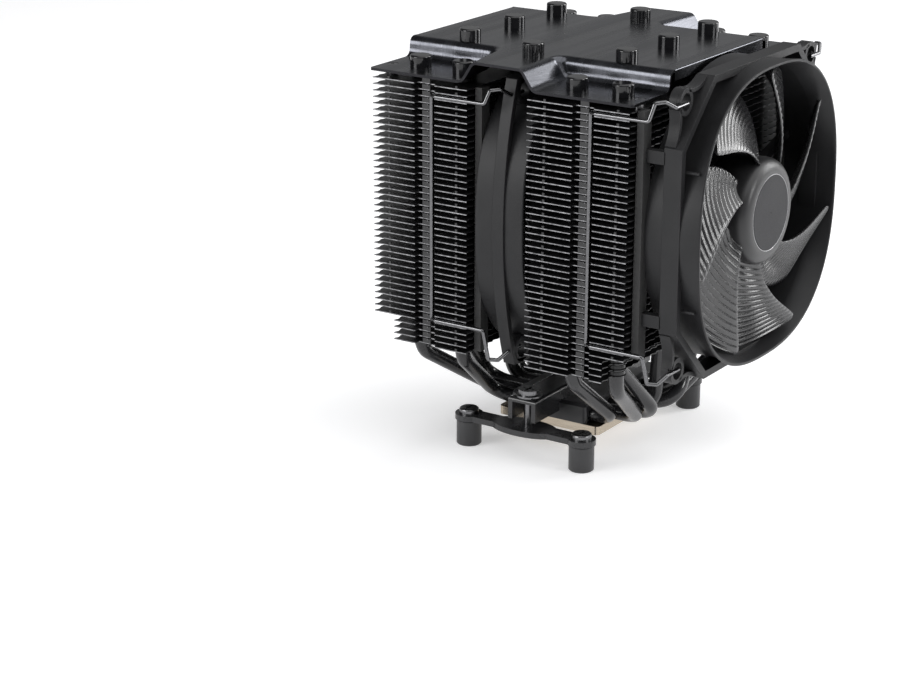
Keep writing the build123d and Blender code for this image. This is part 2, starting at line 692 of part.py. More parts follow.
def fan_clip(fan, side):
    """Spring wire clip: a leg in the fins' groove, two arms and two tips that hook in the ears."""
    tip_y = fan["rear_y"] - fan["tip_depth"]
    leg_y = tip_y + CLIP_REACH

    def half(up):
        arm = gap_between_fins(fan["arm_levels"][up > 0])
        tip = fan["centre_z"] + up * CLIP_TIP_RISE
        crest = tip + up * 2.4
        return [
            (side * CLIP_LEG_X, leg_y, arm),
            (side * CLIP_ARM_X, leg_y - 3.0, arm),
            (side * CLIP_ARM_X, leg_y - 25.6, arm),
            (side * (CLIP_ARM_X - 1.6), leg_y - 27.2, crest),
            (side * (CLIP_ARM_X - 4.0), leg_y - 30.2, crest + up * 0.4),
            (side * (CLIP_PIVOT_X + 5.4), tip_y, tip),
            (side * (CLIP_PIVOT_X - 3.2), tip_y, tip),
        ]

    lower = half(-1)
    lower.reverse()
    return round_sweep(lower + half(1), WIRE_RADIUS, 1.0)


# ---------------------------------------------------------------- write every node

if __name__ == "__main__":
    os.makedirs("parts", exist_ok=True)
    save("cold_plate", cold_plate())
    save("base_block", base_block())
    for number in range(len(PIPE_COLUMNS)):
        save(f"heat_pipe_{number + 1}", heat_pipe(number))
    for name, tower in TOWERS.items():
        save(f"{name}_fin_stack", *fin_stack(tower))
        save(f"{name}_tower_pads", *tower_pads(tower))
    save("top_cover", top_cover())
    save("cover_posts", *[cover_post(x, y) for x, y in cover_screw_places()])
    save("cover_screws", *[cover_screw(x, y) for x, y in cover_screw_places()])
    save("heat_pipe_caps", *[heat_pipe_cap(c, d) for d in TOWERS.values() for c in PIPE_COLUMNS])
    save("mounting_bridge", mounting_bridge())
    save("bridge_screws", *[bridge_screw(s) for s in SIDES.values()])
    save("standoffs", *[standoff(x, y) for x, y in post_places()])
    save("standoff_screws", *[standoff_screw(x, y) for x, y in post_places()])
    for name, hand in SIDES.items():
        save(f"mounting_bracket_{name}", mounting_bracket(hand))
        save(f"screw_plug_{name}", screw_plug(hand))
    fans = {"front": (FRONT_FAN, front_fan_frame()), "middle": (MIDDLE_FAN, middle_fan_frame())}
    for name, (fan_size, frame_solid) in fans.items():
        stand = in_place(fan_size)
        save(f"{name}_fan_frame", stand * frame_solid)
        for piece, shapes in motor_pieces(fan_size).items():
            save(f"{name}_fan_{piece}", *[stand * shape for shape in shapes])
        for hand_name, hand in SIDES.items():
            save(f"{name}_fan_clip_{hand_name}", fan_clip(fan_size, hand))
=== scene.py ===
"""Looks of a twin-tower processor cooler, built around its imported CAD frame.

Lengths are written in millimetres of the row frame and turned into metres when a mesh is made.
A fan is drawn lying on its rear face, x to the right and y up as seen from the front, z forward.
"""
import json
import math

import bmesh
import bpy
from mathutils import Euler, Matrix, Vector

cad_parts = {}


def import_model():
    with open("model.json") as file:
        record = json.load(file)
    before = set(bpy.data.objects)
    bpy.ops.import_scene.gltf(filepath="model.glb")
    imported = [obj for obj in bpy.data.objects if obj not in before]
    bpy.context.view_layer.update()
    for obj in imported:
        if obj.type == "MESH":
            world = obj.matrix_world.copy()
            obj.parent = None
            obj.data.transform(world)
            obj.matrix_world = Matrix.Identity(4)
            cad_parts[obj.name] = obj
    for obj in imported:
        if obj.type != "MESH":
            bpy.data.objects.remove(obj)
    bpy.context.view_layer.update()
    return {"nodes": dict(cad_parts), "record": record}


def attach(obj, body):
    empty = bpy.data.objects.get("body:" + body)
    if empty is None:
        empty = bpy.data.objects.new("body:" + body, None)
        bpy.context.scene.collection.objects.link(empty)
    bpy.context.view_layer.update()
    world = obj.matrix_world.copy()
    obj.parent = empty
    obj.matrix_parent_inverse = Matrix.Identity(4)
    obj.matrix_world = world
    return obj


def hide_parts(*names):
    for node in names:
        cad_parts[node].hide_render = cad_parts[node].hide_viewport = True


MM = 0.001
SIDES = (-1, 1)
CORNERS = [(sx, sy) for sx in SIDES for sy in SIDES]

# ---------------------------------------------------------------- sizes shared with the CAD

FIN_COUNT = 42
SHORT_FIN_COUNT = 4
SHORT_FIN_CUT = 9.5
FIN_PITCH = 2.6
FIN_THICKNESS = 0.4
FIN_STACK_BOTTOM = 39.6
FIN_HALF_WIDTH = 68.0
TOWER_CENTRE = 35.8
TOWER_HALF_DEPTH = 22.2
PIPE_RADIUS = 3.0
PIPE_PLACES = [
    (-55.5, -12.3), (-55.5, 7.7), (-33, -0.7), (0, -0.7), (33, -0.7), (55.5, 7.7), (55.5, -12.3),
]

COVER_TOP = 157.9
FLANGE_TOP = 150.1
COVER_HALF_Y = 59.4
RAISED_HALF_X = 40.0
COVER_LIP_DROP = 4.4
PLUG_X = 42.0
PLUG_HOLE_RADIUS = 3.5
COVER_SCREW = (57.0, 56.0)

HUB_RADIUS = 21.4
HUB_INNER_RADIUS = 20.0
BADGE_RADIUS = 15.2
BLADE_COUNT = 7
SCREW_PLACE = 52.5
SCREW_HOLE_RADIUS = 3.4
EAR_RADIUS = 5.25
EAR_SPAN = (7.6, 12.2)
EAR_STRAP = 1.6
RAIL_HALF = 60.0
RAIL_STRAIGHT = 36.0
RIM_HALF = 59.2
RIM_FRONT = 23.2
MOTOR_PLATE_RADIUS = 20.6

FRONT_FAN = {
    "centre_z": 97.6, "rear_y": -61.0, "depth": 25.0, "throat": 58.3, "blade_tip": 57.0, "phase": 42.0,
}
MIDDLE_FAN = {
    "centre_z": 93.5, "rear_y": 10.6, "depth": 22.0, "throat": 59.4, "blade_tip": 58.0, "phase": 20.0,
}


# ---------------------------------------------------------------- mesh building


def here(point):
    """Place of a shape that is drawn in the row frame."""
    return point


def standing(fan):
    """Place of a shape that is drawn in a fan's own frame."""
    return lambda point: (point[0], fan["rear_y"] - point[2], fan["centre_z"] + point[1])


def circle(radius, count, centre=(0.0, 0.0)):
    """Points of a circle."""
    turns = [2 * math.pi * k / count for k in range(count)]
    return [(centre[0] + radius * math.cos(t), centre[1] + radius * math.sin(t)) for t in turns]


def bezier(a, b, c, count):
    """Points of a bend from a to c with its corner at b."""
    a, b, c = Vector(a), Vector(b), Vector(c)
    steps = [k / count for k in range(count + 1)]
    return [tuple(a * (1 - t) ** 2 + b * 2 * t * (1 - t) + c * t * t) for t in steps]


class Shape:
    """A mesh under construction."""

    def __init__(self, place=here):
        self.mesh = bmesh.new()
        self.place = place

    def vertex(self, point):
        return self.mesh.verts.new(Vector(self.place(point)) * MM)

    def face(self, corners):
        self.mesh.faces.new(corners)

    def grid(self, rows, close_rows=False, close_columns=False):
        """Quads between rows of points. Returns the rows of vertices."""
        made = [[self.vertex(p) for p in row] for row in rows]
        row_pairs = list(zip(made, made[1:] + made[:1]))
        if not close_rows:
            row_pairs.pop()
        for near, far in row_pairs:
            count = len(near)
            for j in range(count if close_columns else count - 1):
                k = (j + 1) % count
                self.face((near[j], near[k], far[k], far[j]))
        return made

    def lathe(self, profile, count):
        """Ring with a closed cross-section of (radius, height) points, about the z axis."""
        rows = []
        for k in range(count):
            turn = 2 * math.pi * k / count
            rows.append([(r * math.cos(turn), r * math.sin(turn), z) for r, z in profile])
        self.grid(rows, close_rows=True, close_columns=True)

    def fill(self, loops, height):
        """Flat face inside the first loop, with the others as holes. Returns the loops' vertices."""
        rings = [[self.vertex((x, y, height)) for x, y in loop] for loop in loops]
        self.fill_between(rings)
        return rings

    def fill_between(self, rings):
        """Flat face between rings of vertices."""
        edges = []
        for ring in rings:
            for a, b in zip(ring, ring[1:] + ring[:1]):
                edges.append(self.mesh.edges.get((a, b)) or self.mesh.edges.new((a, b)))
        bmesh.ops.triangle_fill(self.mesh, use_beauty=True, edges=edges)

    def prism(self, outline, low, high, holes=()):
        """Upright solid over an outline with holes."""
        loops = [outline, *holes]
        lower = self.fill(loops, low)
        upper = self.fill(loops, high)
        for a, b in zip(lower, upper):
            for i in range(len(a)):
                j = (i + 1) % len(a)
                self.face((a[i], a[j], b[j], b[i]))

    def box(self, low, high):
        """Box between two corner points."""
        outline = [(low[0], low[1]), (high[0], low[1]), (high[0], high[1]), (low[0], high[1])]
        self.prism(outline, low[2], high[2])

    def make(self, name, finish):
        """Blender object of the mesh."""
        bmesh.ops.recalc_face_normals(self.mesh, faces=self.mesh.faces)
        data = bpy.data.meshes.new(name)
        self.mesh.to_mesh(data)
        self.mesh.free()
        data.polygons.foreach_set("use_smooth", [True] * len(data.polygons))
        data.materials.append(finish)
        piece = bpy.data.objects.new(name, data)
        bpy.context.scene.collection.objects.link(piece)
        return piece


def soften(piece, width, segments=2, angle=38):
    """Rounds the sharp edges of a piece and keeps its flats flat."""
    bevel = piece.modifiers.new("edges", "BEVEL")
    bevel.width = width * MM
    bevel.segments = segments
    bevel.limit_method = "ANGLE"
    bevel.angle_limit = math.radians(angle)
    bevel.use_clamp_overlap = True
    weight = piece.modifiers.new("flats", "WEIGHTED_NORMAL")
    weight.keep_sharp = True


def crisp(piece, angle=35):
    """Keeps edges above an angle sharp."""
    piece.data.set_sharp_from_angle(angle=math.radians(angle))


def settle(piece, body, slot, *nodes):
    """Ties a piece to its body and hides the CAD nodes that it stands for. The slot argument is not used.
    """
    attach(piece, body)
    if nodes:
        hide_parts(*nodes)


# ---------------------------------------------------------------- materials


def material(name, colour, roughness, metallic=0.0):
    """Principled material."""
    made = bpy.data.materials.new(name)
    made.use_nodes = True
    shader = made.node_tree.nodes["Principled BSDF"]
    shader.inputs["Base Color"].default_value = (*colour, 1.0)
    shader.inputs["Roughness"].default_value = roughness
    shader.inputs["Metallic"].default_value = metallic
    return made


def texture(made, kind, scale, stretch=(1, 1, 1), **sockets):
    """Texture in object coordinates, scale in cells per millimetre. Returns its factor."""
    tree = made.node_tree
    place = tree.nodes.new("ShaderNodeTexCoord")
    mapping = tree.nodes.new("ShaderNodeMapping")
    mapping.inputs["Scale"].default_value = [s / MM for s in stretch]
    node = tree.nodes.new(kind)
    node.inputs["Scale"].default_value = scale
    for name, value in sockets.items():
        node.inputs[name.title()].default_value = value
    tree.links.new(place.outputs["Object"], mapping.inputs["Vector"])
    tree.links.new(mapping.outputs["Vector"], node.inputs["Vector"])
    return node.outputs[0]


def vary(made, factor, socket, low, high, start=0.3, end=0.7):
    """Drives a socket between two values by a texture's factor."""
    tree = made.node_tree
    shader = tree.nodes["Principled BSDF"]
    if isinstance(low, tuple):
        ramp = tree.nodes.new("ShaderNodeValToRGB")
        for element, place, colour in zip(ramp.color_ramp.elements, (start, end), (low, high)):
            element.position = place
            element.color = (*colour, 1.0)
        tree.links.new(factor, ramp.inputs["Fac"])
        tree.links.new(ramp.outputs["Color"], shader.inputs[socket])
        return
    spread = tree.nodes.new("ShaderNodeMapRange")
    for name, value in {"From Min": start, "From Max": end, "To Min": low, "To Max": high}.items():
        spread.inputs[name].default_value = value
    tree.links.new(factor, spread.inputs["Value"])
    tree.links.new(spread.outputs["Result"], shader.inputs[socket])


def bump(made, factor, depth, strength=1.0):
    """Relief by a texture's factor, depth in millimetres. A second call adds to the first."""
    tree = made.node_tree
    shader = tree.nodes["Principled BSDF"]
    node = tree.nodes.new("ShaderNodeBump")
    node.inputs["Distance"].default_value = depth * MM
    node.inputs["Strength"].default_value = strength
    tree.links.new(factor, node.inputs["Height"])
    if shader.inputs["Normal"].is_linked:
        tree.links.new(shader.inputs["Normal"].links[0].from_socket, node.inputs["Normal"])
    tree.links.new(node.outputs["Normal"], shader.inputs["Normal"])


def grained_plastic(name, dark, light, roughness, grain, specular, relief):
    """Moulded plastic with a fine spark-eroded grain."""
    made = material(name, dark, roughness)
    made.node_tree.nodes["Principled BSDF"].inputs["Specular IOR Level"].default_value = specular
    broad = texture(made, "ShaderNodeTexNoise", 0.05, detail=3.0)
    fine = texture(made, "ShaderNodeTexNoise", 1 / grain, detail=2.0)
    vary(made, broad, "Base Color", dark, light)
    vary(made, fine, "Roughness", roughness - 0.05, roughness + 0.07)
    bump(made, fine, relief)
    return made


def coated_metal(name, dark, light, roughness, grain):
    """Painted or anodised metal with a faint orange peel."""
    made = material(name, dark, roughness)
    broad = texture(made, "ShaderNodeTexNoise", 0.08, detail=4.0)
    fine = texture(made, "ShaderNodeTexNoise", 1 / grain, detail=1.0)
    vary(made, broad, "Base Color", dark, light)
    vary(made, broad, "Roughness", roughness - 0.05, roughness + 0.06)
    bump(made, fine, 0.006)
    return made


def brushed_metal(name, dark, light, roughness, stretch, grain, depth):
    """Metal brushed in one direction."""
    made = material(name, dark, roughness, 1.0)
    lines = texture(made, "ShaderNodeTexNoise", 1 / grain, stretch, detail=3.0, roughness=0.65)
    broad = texture(made, "ShaderNodeTexNoise", 0.12, stretch, detail=2.0)
    vary(made, lines, "Base Color", dark, light)
    vary(made, broad, "Roughness", roughness - 0.05, roughness + 0.07)
    bump(made, lines, depth)
    return made


# Dark and light colour, roughness, grain, specular level and relief.
PLASTICS = {
    "pad_rubber": ((0.018, 0.018, 0.018), (0.028, 0.028, 0.028), 0.62, 0.30, 0.50, 0.020),
    "fan_frame_plastic": ((0.013, 0.013, 0.014), (0.019, 0.019, 0.020), 0.44, 0.28, 0.25, 0.020),
    "hub_plastic": ((0.014, 0.014, 0.015), (0.020, 0.020, 0.021), 0.38, 0.30, 0.50, 0.020),
    "blade_plastic": ((0.014, 0.014, 0.015), (0.022, 0.022, 0.023), 0.25, 0.35, 0.90, 0.004),
    "badge_grey": ((0.020, 0.020, 0.022), (0.027, 0.027, 0.029), 0.50, 0.30, 0.15, 0.020),
    "board_green": ((0.010, 0.045, 0.022), (0.016, 0.070, 0.030), 0.40, 0.80, 0.50, 0.020),
    "magnet_dark": ((0.030, 0.028, 0.028), (0.045, 0.042, 0.040), 0.55, 0.40, 0.50, 0.020),
}

# Dark and light colour, roughness and the size of the orange peel.
COATINGS = {
    "polished_black": ((0.006, 0.006, 0.007), (0.010, 0.010, 0.011), 0.12, 0.80),
    "black_fin": ((0.010, 0.010, 0.011), (0.016, 0.016, 0.017), 0.34, 0.50),
    "black_pipe": ((0.014, 0.014, 0.015), (0.024, 0.024, 0.026), 0.22, 0.60),
    "black_block": ((0.020, 0.020, 0.022), (0.030, 0.030, 0.032), 0.34, 0.40),
    "bridge_black": ((0.015, 0.015, 0.016), (0.026, 0.026, 0.028), 0.24, 0.50),
    "post_black": ((0.020, 0.020, 0.021), (0.032, 0.032, 0.034), 0.36, 0.40),
}

# Dark and light colour, roughness, stretch of the brush lines, their spacing and their depth.
BRUSHED_METALS = {
    "brushed_black": ((0.060, 0.062, 0.070), (0.105, 0.108, 0.120), 0.24, (0.02, 1, 0.02), 0.22, 0.012),
    # Darker copy of the sheet metal, used on the cover's underside and cut edges: painted shade.
    "painted_shade_sheet_edge": ((0.018, 0.018, 0.020), (0.034, 0.034, 0.037), 0.36, (0.05, 1, 1), 0.22, 0.012),
    "nickel_plate": ((0.42, 0.36, 0.28), (0.56, 0.49, 0.40), 0.25, (1, 0.03, 1), 0.22, 0.012),
    "dark_steel": ((0.13, 0.13, 0.135), (0.22, 0.22, 0.225), 0.30, (1, 1, 0.05), 0.22, 0.012),
    "bearing_bronze": ((0.38, 0.24, 0.11), (0.55, 0.36, 0.18), 0.35, (1, 1, 0.1), 0.22, 0.012),
    "shaft_steel": ((0.52, 0.52, 0.53), (0.66, 0.66, 0.67), 0.18, (1, 0.1, 1), 0.22, 0.012),
    "spring_wire": ((0.11, 0.11, 0.114), (0.17, 0.17, 0.175), 0.20, (0.4, 0.4, 0.4), 0.22, 0.012),
    # Lighter copy of the fin coat, used on the fins' side edges: painted highlight.
    "painted_highlight_fin_edge": ((0.080, 0.080, 0.084), (0.36, 0.36, 0.37), 0.32, (1, 1, 0.3), 1.60, 0.0),
}


def build_materials():
    """Every finish by its slot name."""
    made = {name: grained_plastic(name, *values) for name, values in PLASTICS.items()}
    made.update({name: coated_metal(name, *values) for name, values in COATINGS.items()})
    made.update({name: brushed_metal(name, *values) for name, values in BRUSHED_METALS.items()})

    copper = made["coil_copper"] = material("coil_copper", (0.5, 0.18, 0.07), 0.3, 1.0)
    windings = texture(copper, "ShaderNodeTexWave", 0.9, detail=0.5, distortion=0.4)
    vary(copper, windings, "Base Color", (0.30, 0.09, 0.03), (0.62, 0.24, 0.10))
    bump(copper, windings, 0.15)

    stator = made["stator_steel"] = material("stator_steel", (0.28, 0.28, 0.29), 0.42, 1.0)
    sheets = texture(stator, "ShaderNodeTexNoise", 2.0, (0.02, 1, 0.02))
    vary(stator, sheets, "Base Color", (0.16, 0.16, 0.165), (0.36, 0.36, 0.37))
    bump(stator, sheets, 0.08)

    ring = made["badge_ring"] = material("badge_ring", (0.34, 0.34, 0.35), 0.32, 1.0)
    vary(ring, texture(ring, "ShaderNodeTexNoise", 1.5, detail=2.0), "Roughness", 0.25, 0.4)
    return made


# ---------------------------------------------------------------- stage, light and camera


FLOOR_LEVEL = -8.0
FLOOR_HALF = 6000

LENS = 92.53
CAMERA_PLACE = (-814.2, -477.5, 345.6)
CAMERA_DOWN, CAMERA_HEADING, CAMERA_ROLL = 18.80, 56.55, 0.18

# Place, target, size and radiance of each soft box.
MIDDLE = (0, 0, 80)
LIGHTS = {
    "overhead": ((0, -800, 1700), (0, -800, 0), (3900, 2600), 1.6),
    "front_box": ((1250, -800, 620), MIDDLE, (520, 900), 9.0),
    "fan_box": ((150, -1450, 620), (-30, -75, 80), (500, 420), 12.0),
    "left_box": ((-1400, 800, 560), MIDDLE, (900, 700), 7.0),
    "backdrop": ((1500, 1000, 760), MIDDLE, (2400, 1000), 0.2),
}


def add_floor():
    """Pale seamless floor under the posts."""
    floor = Shape()
    ends = (-FLOOR_HALF, FLOOR_HALF)
    floor.grid([[(x, y, FLOOR_LEVEL) for x in ends] for y in ends])
    paint = material("floor", (0.82, 0.82, 0.83), 0.6)
    shader = paint.node_tree.nodes["Principled BSDF"]
    shader.inputs["Specular IOR Level"].default_value = 0.15
    shader.inputs["Emission Color"].default_value = (1, 1, 1, 1)
    shader.inputs["Emission Strength"].default_value = 0.4
    piece = floor.make("floor", paint)


def add_light(name, place, target, size, radiance):
    """Soft box of a given radiance, aimed at a point."""
    data = bpy.data.lights.new(name, "AREA")
    data.shape = "RECTANGLE"
    data.size, data.size_y = size[0] * MM, size[1] * MM
    data.energy = radiance * math.pi * data.size * data.size_y
    lamp = bpy.data.objects.new(name, data)
    lamp.location = Vector(place) * MM
    aim = Vector(target) - Vector(place)
    lamp.rotation_euler = aim.to_track_quat("-Z", "Y").to_euler()
    bpy.context.scene.collection.objects.link(lamp)


def add_stage():
    """Floor, world and soft boxes."""
    world = bpy.data.worlds.new("studio")
    world.use_nodes = True
    sky = world.node_tree.nodes["Background"]
    sky.inputs["Color"].default_value = (0.95, 0.97, 1.0, 1.0)
    sky.inputs["Strength"].default_value = 0.10
    bpy.context.scene.world = world
    add_floor()
    for name, values in LIGHTS.items():
        add_light(name, *values)


def add_camera():
    """Camera to the left of the front fan, looking slightly down."""
    data = bpy.data.cameras.new("camera")
    data.sensor_width = 36.0
    data.lens = LENS
    data.clip_end = 50.0
    camera = bpy.data.objects.new("camera", data)
    down, heading = math.radians(CAMERA_DOWN), math.radians(CAMERA_HEADING)
    roll = Matrix.Rotation(math.radians(CAMERA_ROLL), 3, "Z")
    turn = Euler((math.pi / 2 - down, 0, -heading)).to_matrix() @ roll
    camera.matrix_world = Matrix.Translation(Vector(CAMERA_PLACE) * MM) @ turn.to_4x4()
    bpy.context.scene.collection.objects.link(camera)
    bpy.context.scene.camera = camera


# ---------------------------------------------------------------- fin towers

WAVE_LENGTH = 4.8
WAVE_DEPTH = 0.7
NOTCH = (-3.8, 2.3)
NOTCH_DEPTH = 2.5
GROOVE = (-6.0, -4.0)
GROOVE_DEPTH = 1.9
GROOVE_FLARE = 1.2
TAB_THICKNESS = 0.35
TAB_REACH = (0.1, 3.8)
TAB_HEIGHT = 1.9
PEGS_Y = (-17.3, 14.5)
PEG_INSET = (0.5, 0.02)
PEG_HALF_WIDTH = 0.5
PEG_HEIGHT = 1.0
WAVE_STEPS = 6
PIPE_SIDES = 20

# Steps of a collar: out from the pipe and up from the fin.
COLLAR = [(0.9, 0.0), (0.45, 0.35), (0.3, 1.6)]


def wavy_edge(y, inward):
    """Fin edge from left to right, cut in shallow waves."""
    points = []
    count = round(2 * FIN_HALF_WIDTH / WAVE_LENGTH * WAVE_STEPS)
    for k in range(count + 1):
        x = -FIN_HALF_WIDTH + 2 * FIN_HALF_WIDTH * k / count
        wave = 0.5 - 0.5 * math.cos(2 * math.pi * (x + FIN_HALF_WIDTH) / WAVE_LENGTH)
        points.append((x, y + inward * WAVE_DEPTH * wave))
    return points


def fin_side():
    """Right side of a fin from front to rear: the clip's groove, then the notch."""
    w, g = FIN_HALF_WIDTH, GROOVE_DEPTH
    return [
        (w, GROOVE[0] - GROOVE_FLARE), (w - g, GROOVE[0]), (w - g, GROOVE[1]), (w, GROOVE[1]),
        (w, NOTCH[0]), (w - NOTCH_DEPTH, NOTCH[0]), (w - NOTCH_DEPTH, NOTCH[1]), (w, NOTCH[1]),
    ]


def add_fin(name, direction, first, count, short, finish, painted_edge_highlight_and_shade):
    """A run of equal fins of one tower."""
    front = -TOWER_HALF_DEPTH + (SHORT_FIN_CUT if short and direction < 0 else 0)
    rear = TOWER_HALF_DEPTH - (SHORT_FIN_CUT if short and direction > 0 else 0)
    right = fin_side()
    left = [(-x, y) for x, y in reversed(right)]
    outline = wavy_edge(front, 1) + right + wavy_edge(rear, -1)[::-1] + left
    middle = direction * TOWER_CENTRE
    shape = Shape(lambda p: (p[0], p[1] + middle, p[2]))
    z = FIN_STACK_BOTTOM + first * FIN_PITCH
    top = z + FIN_THICKNESS
    shape.prism(outline, z, top, [circle(PIPE_RADIUS, PIPE_SIDES, place) for place in PIPE_PLACES])
    notch_wall = FIN_HALF_WIDTH - NOTCH_DEPTH
    for side in SIDES:
        near, far = sorted((side * notch_wall, side * (notch_wall + TAB_THICKNESS)))
        shape.box((near, NOTCH[0] + TAB_REACH[0], top), (far, NOTCH[0] + TAB_REACH[1], top + TAB_HEIGHT))
        for y in PEGS_Y:
            if front < y < rear:
                near, far = sorted(side * (FIN_HALF_WIDTH - inset) for inset in PEG_INSET)
                shape.box((near, y - PEG_HALF_WIDTH, top), (far, y + PEG_HALF_WIDTH, top + PEG_HEIGHT))
    for place in PIPE_PLACES:
        collar(shape, place, top)
    piece = shape.make(name, finish)
    # Side faces that face along x, below the tabs, take the lighter second finish: a painted highlight
    # along the fins' side edges.
    piece.data.materials.append(painted_edge_highlight_and_shade)
    for face in piece.data.polygons:
        face.material_index = int(abs(face.normal.x) > 0.9 and face.center.z < top * MM)
    crisp(piece)
    stack = piece.modifiers.new("stack", "ARRAY")
    stack.count = count
    stack.use_relative_offset = False
    stack.use_constant_offset = True
    stack.constant_offset_displace = (0, 0, FIN_PITCH * MM)
    settle(piece, "cooler", "black_fin", *([] if short else [name.replace("_fins", "_fin_stack")]))


def collar(shape, place, low):
    """Drawn collar of a fin around a heat pipe."""
    rings = []
    for out, up in COLLAR:
        rings.append([(x, y, low + up) for x, y in circle(PIPE_RADIUS + out, PIPE_SIDES, place)])
    shape.grid(rings, close_columns=True)


# ---------------------------------------------------------------- top cover

TOP_BEND = 3.6
FOOT_BEND = 3.4
LIP_BEND = 0.6
CORNER_STEPS = 8
TOP_TURN = 4.0
FOOT_TURN = 3.0
FOOT_OFFSET = 0.5
SHEET_THICKNESS = 1.1
BULGE_TOP = {-1: (-9.5, -11.0), 1: (17.0, 11.5)}
BULGE_FOOT = {-1: (-13.8, -16.3), 1: (21.0, 16.5)}
COVER_SCREW_RADIUS = 2.35
COVER_CORNER = 1.5
SHEET_EDGE = 0.25
LONG_STEPS = 9
SIDE_STEPS = 6
BEND_STEPS = 6
LIP_STEPS = 12


def wall_stations(side, end):
    """Stations along one wall of the raised panel, from the cover's end to the bulge's end.

    A station is the top edge, the foot and the outward direction, all in plan.
    """
    x0, x1 = side * RAISED_HALF_X, side * FIN_HALF_WIDTH
    top_near, top_far = BULGE_TOP[end]
    foot_near, foot_far = BULGE_FOOT[end]
    length = FIN_HALF_WIDTH - RAISED_HALF_X
    top_slope, foot_slope = (top_far - top_near) / length, (foot_far - foot_near) / length
    x_foot = x0 + side * FOOT_OFFSET
    cover_end = end * COVER_HALF_Y
    top_start, foot_start = top_near + end * TOP_TURN, foot_near + end * FOOT_TURN
    along_y, along_x = Vector((side, 0)), Vector((-side * top_slope * end, end)).normalized()
    stations = []
    for k in range(LONG_STEPS):
        t = k / LONG_STEPS
        top = (x0, cover_end + (top_start - cover_end) * t)
        foot = (x_foot, cover_end + (foot_start - cover_end) * t)
        stations.append((top, foot, along_y))
    top_end = (x0 + side * TOP_TURN, top_near + top_slope * TOP_TURN)
    foot_end = (x_foot + side * FOOT_TURN, foot_near + foot_slope * FOOT_TURN)
    top_arc = bezier((x0, top_start), (x0, top_near), top_end, CORNER_STEPS)
    foot_arc = bezier((x_foot, foot_start), (x_foot, foot_near), foot_end, CORNER_STEPS)
    for k, (top, foot) in enumerate(zip(top_arc, foot_arc)):
        t = k / CORNER_STEPS
        stations.append((top, foot, (along_y * (1 - t) + along_x * t).normalized()))
    for k in range(1, SIDE_STEPS + 1):
        top = Vector(top_end).lerp((x1, top_far), k / SIDE_STEPS)
        foot = Vector(foot_end).lerp((x1, foot_far), k / SIDE_STEPS)
        stations.append((top, foot, along_x))
    return stations


def wall_section(top, foot, outward):
    """Points across a wall: the flat above, the bend, the wall, the lower bend and the flange."""
    crown = Vector((*top, COVER_TOP))
    base = Vector((*foot, FLANGE_TOP))
    out = Vector((*outward, 0))
    along = (base - crown).normalized()
    lean = out.angle(along)
    above = TOP_BEND * math.tan(lean / 2)
    below = FOOT_BEND * math.tan(lean / 2)
    upper = bezier(crown - out * above, crown, crown + along * above, BEND_STEPS)
    lower = bezier(base - along * below, base, base + out * below, BEND_STEPS)
    return upper + lower


def add_cover(finish, painted_edge_highlight_and_shade):
    """Bent sheet with a raised panel, a bulge over the middle fan, four flanges and two lips."""
    shape = Shape()
    walls = {}
    for side, end in CORNERS:
        walls[side, end] = shape.grid([wall_section(*station) for station in wall_stations(side, end)])
    lips = {}
    for end in SIDES:
        rows = []
        for k in range(LIP_STEPS + 1):
            x = (RAISED_HALF_X - TOP_BEND) * (2 * k / LIP_STEPS - 1)
            crown = (x, end * COVER_HALF_Y, COVER_TOP)
            near = (x, end * (COVER_HALF_Y - LIP_BEND), COVER_TOP)
            under = (x, end * COVER_HALF_Y, COVER_TOP - LIP_BEND)
            hem = (x, end * COVER_HALF_Y, COVER_TOP - COVER_LIP_DROP)
            rows.append(bezier(near, crown, under, 4) + [hem])
        lips[end] = shape.grid(rows)

    def top_edge(rows):
        return [row[0] for row in rows]

    top_loop = top_edge(walls[-1, -1])[::-1] + top_edge(lips[-1])
    top_loop += top_edge(walls[1, -1]) + top_edge(walls[1, 1])[::-1]
    top_loop += top_edge(lips[1])[::-1] + top_edge(walls[-1, 1])
    holes = []
    for side in SIDES:
        hole = circle(PLUG_HOLE_RADIUS, 24, (side * PLUG_X, 0))
        holes.append([shape.vertex((x, y, COVER_TOP)) for x, y in hole])
    shape.fill_between([top_loop, *holes])
    for (side, end), rows in walls.items():
        inner = [row[-1] for row in rows]
        x, y = side * FIN_HALF_WIDTH, end * COVER_HALF_Y
        outer = bezier((x, y - end * COVER_CORNER), (x, y), (x - side * COVER_CORNER, y), 4)
        loop = inner + [shape.vertex((x, y, FLANGE_TOP)) for x, y in outer]
        screw = circle(COVER_SCREW_RADIUS, 20, (side * COVER_SCREW[0], end * COVER_SCREW[1]))
        shape.fill_between([loop, [shape.vertex((x, y, FLANGE_TOP)) for x, y in screw]])
    piece = shape.make("top_cover_sheet", finish)
    # The underside and the cut edges take the darker second finish: painted shade.
    piece.data.materials.append(painted_edge_highlight_and_shade)
    sheet = piece.modifiers.new("thickness", "SOLIDIFY")
    sheet.thickness = SHEET_THICKNESS * MM
    sheet.offset = -1
    sheet.material_offset = 1
    sheet.material_offset_rim = 1
    bevel = piece.modifiers.new("edges", "BEVEL")
    bevel.width = SHEET_EDGE * MM
    bevel.segments = 2
    bevel.limit_method = "ANGLE"
    bevel.angle_limit = math.radians(60)
    weight = piece.modifiers.new("flats", "WEIGHTED_NORMAL")
    weight.keep_sharp = True
    settle(piece, "cooler", "brushed_black", "top_cover")


# ---------------------------------------------------------------- fans

RIB_PITCH = 2.4
RIB_HEIGHT = 0.42
RADIAL_STEPS = 152
CHORD_STEPS = 18

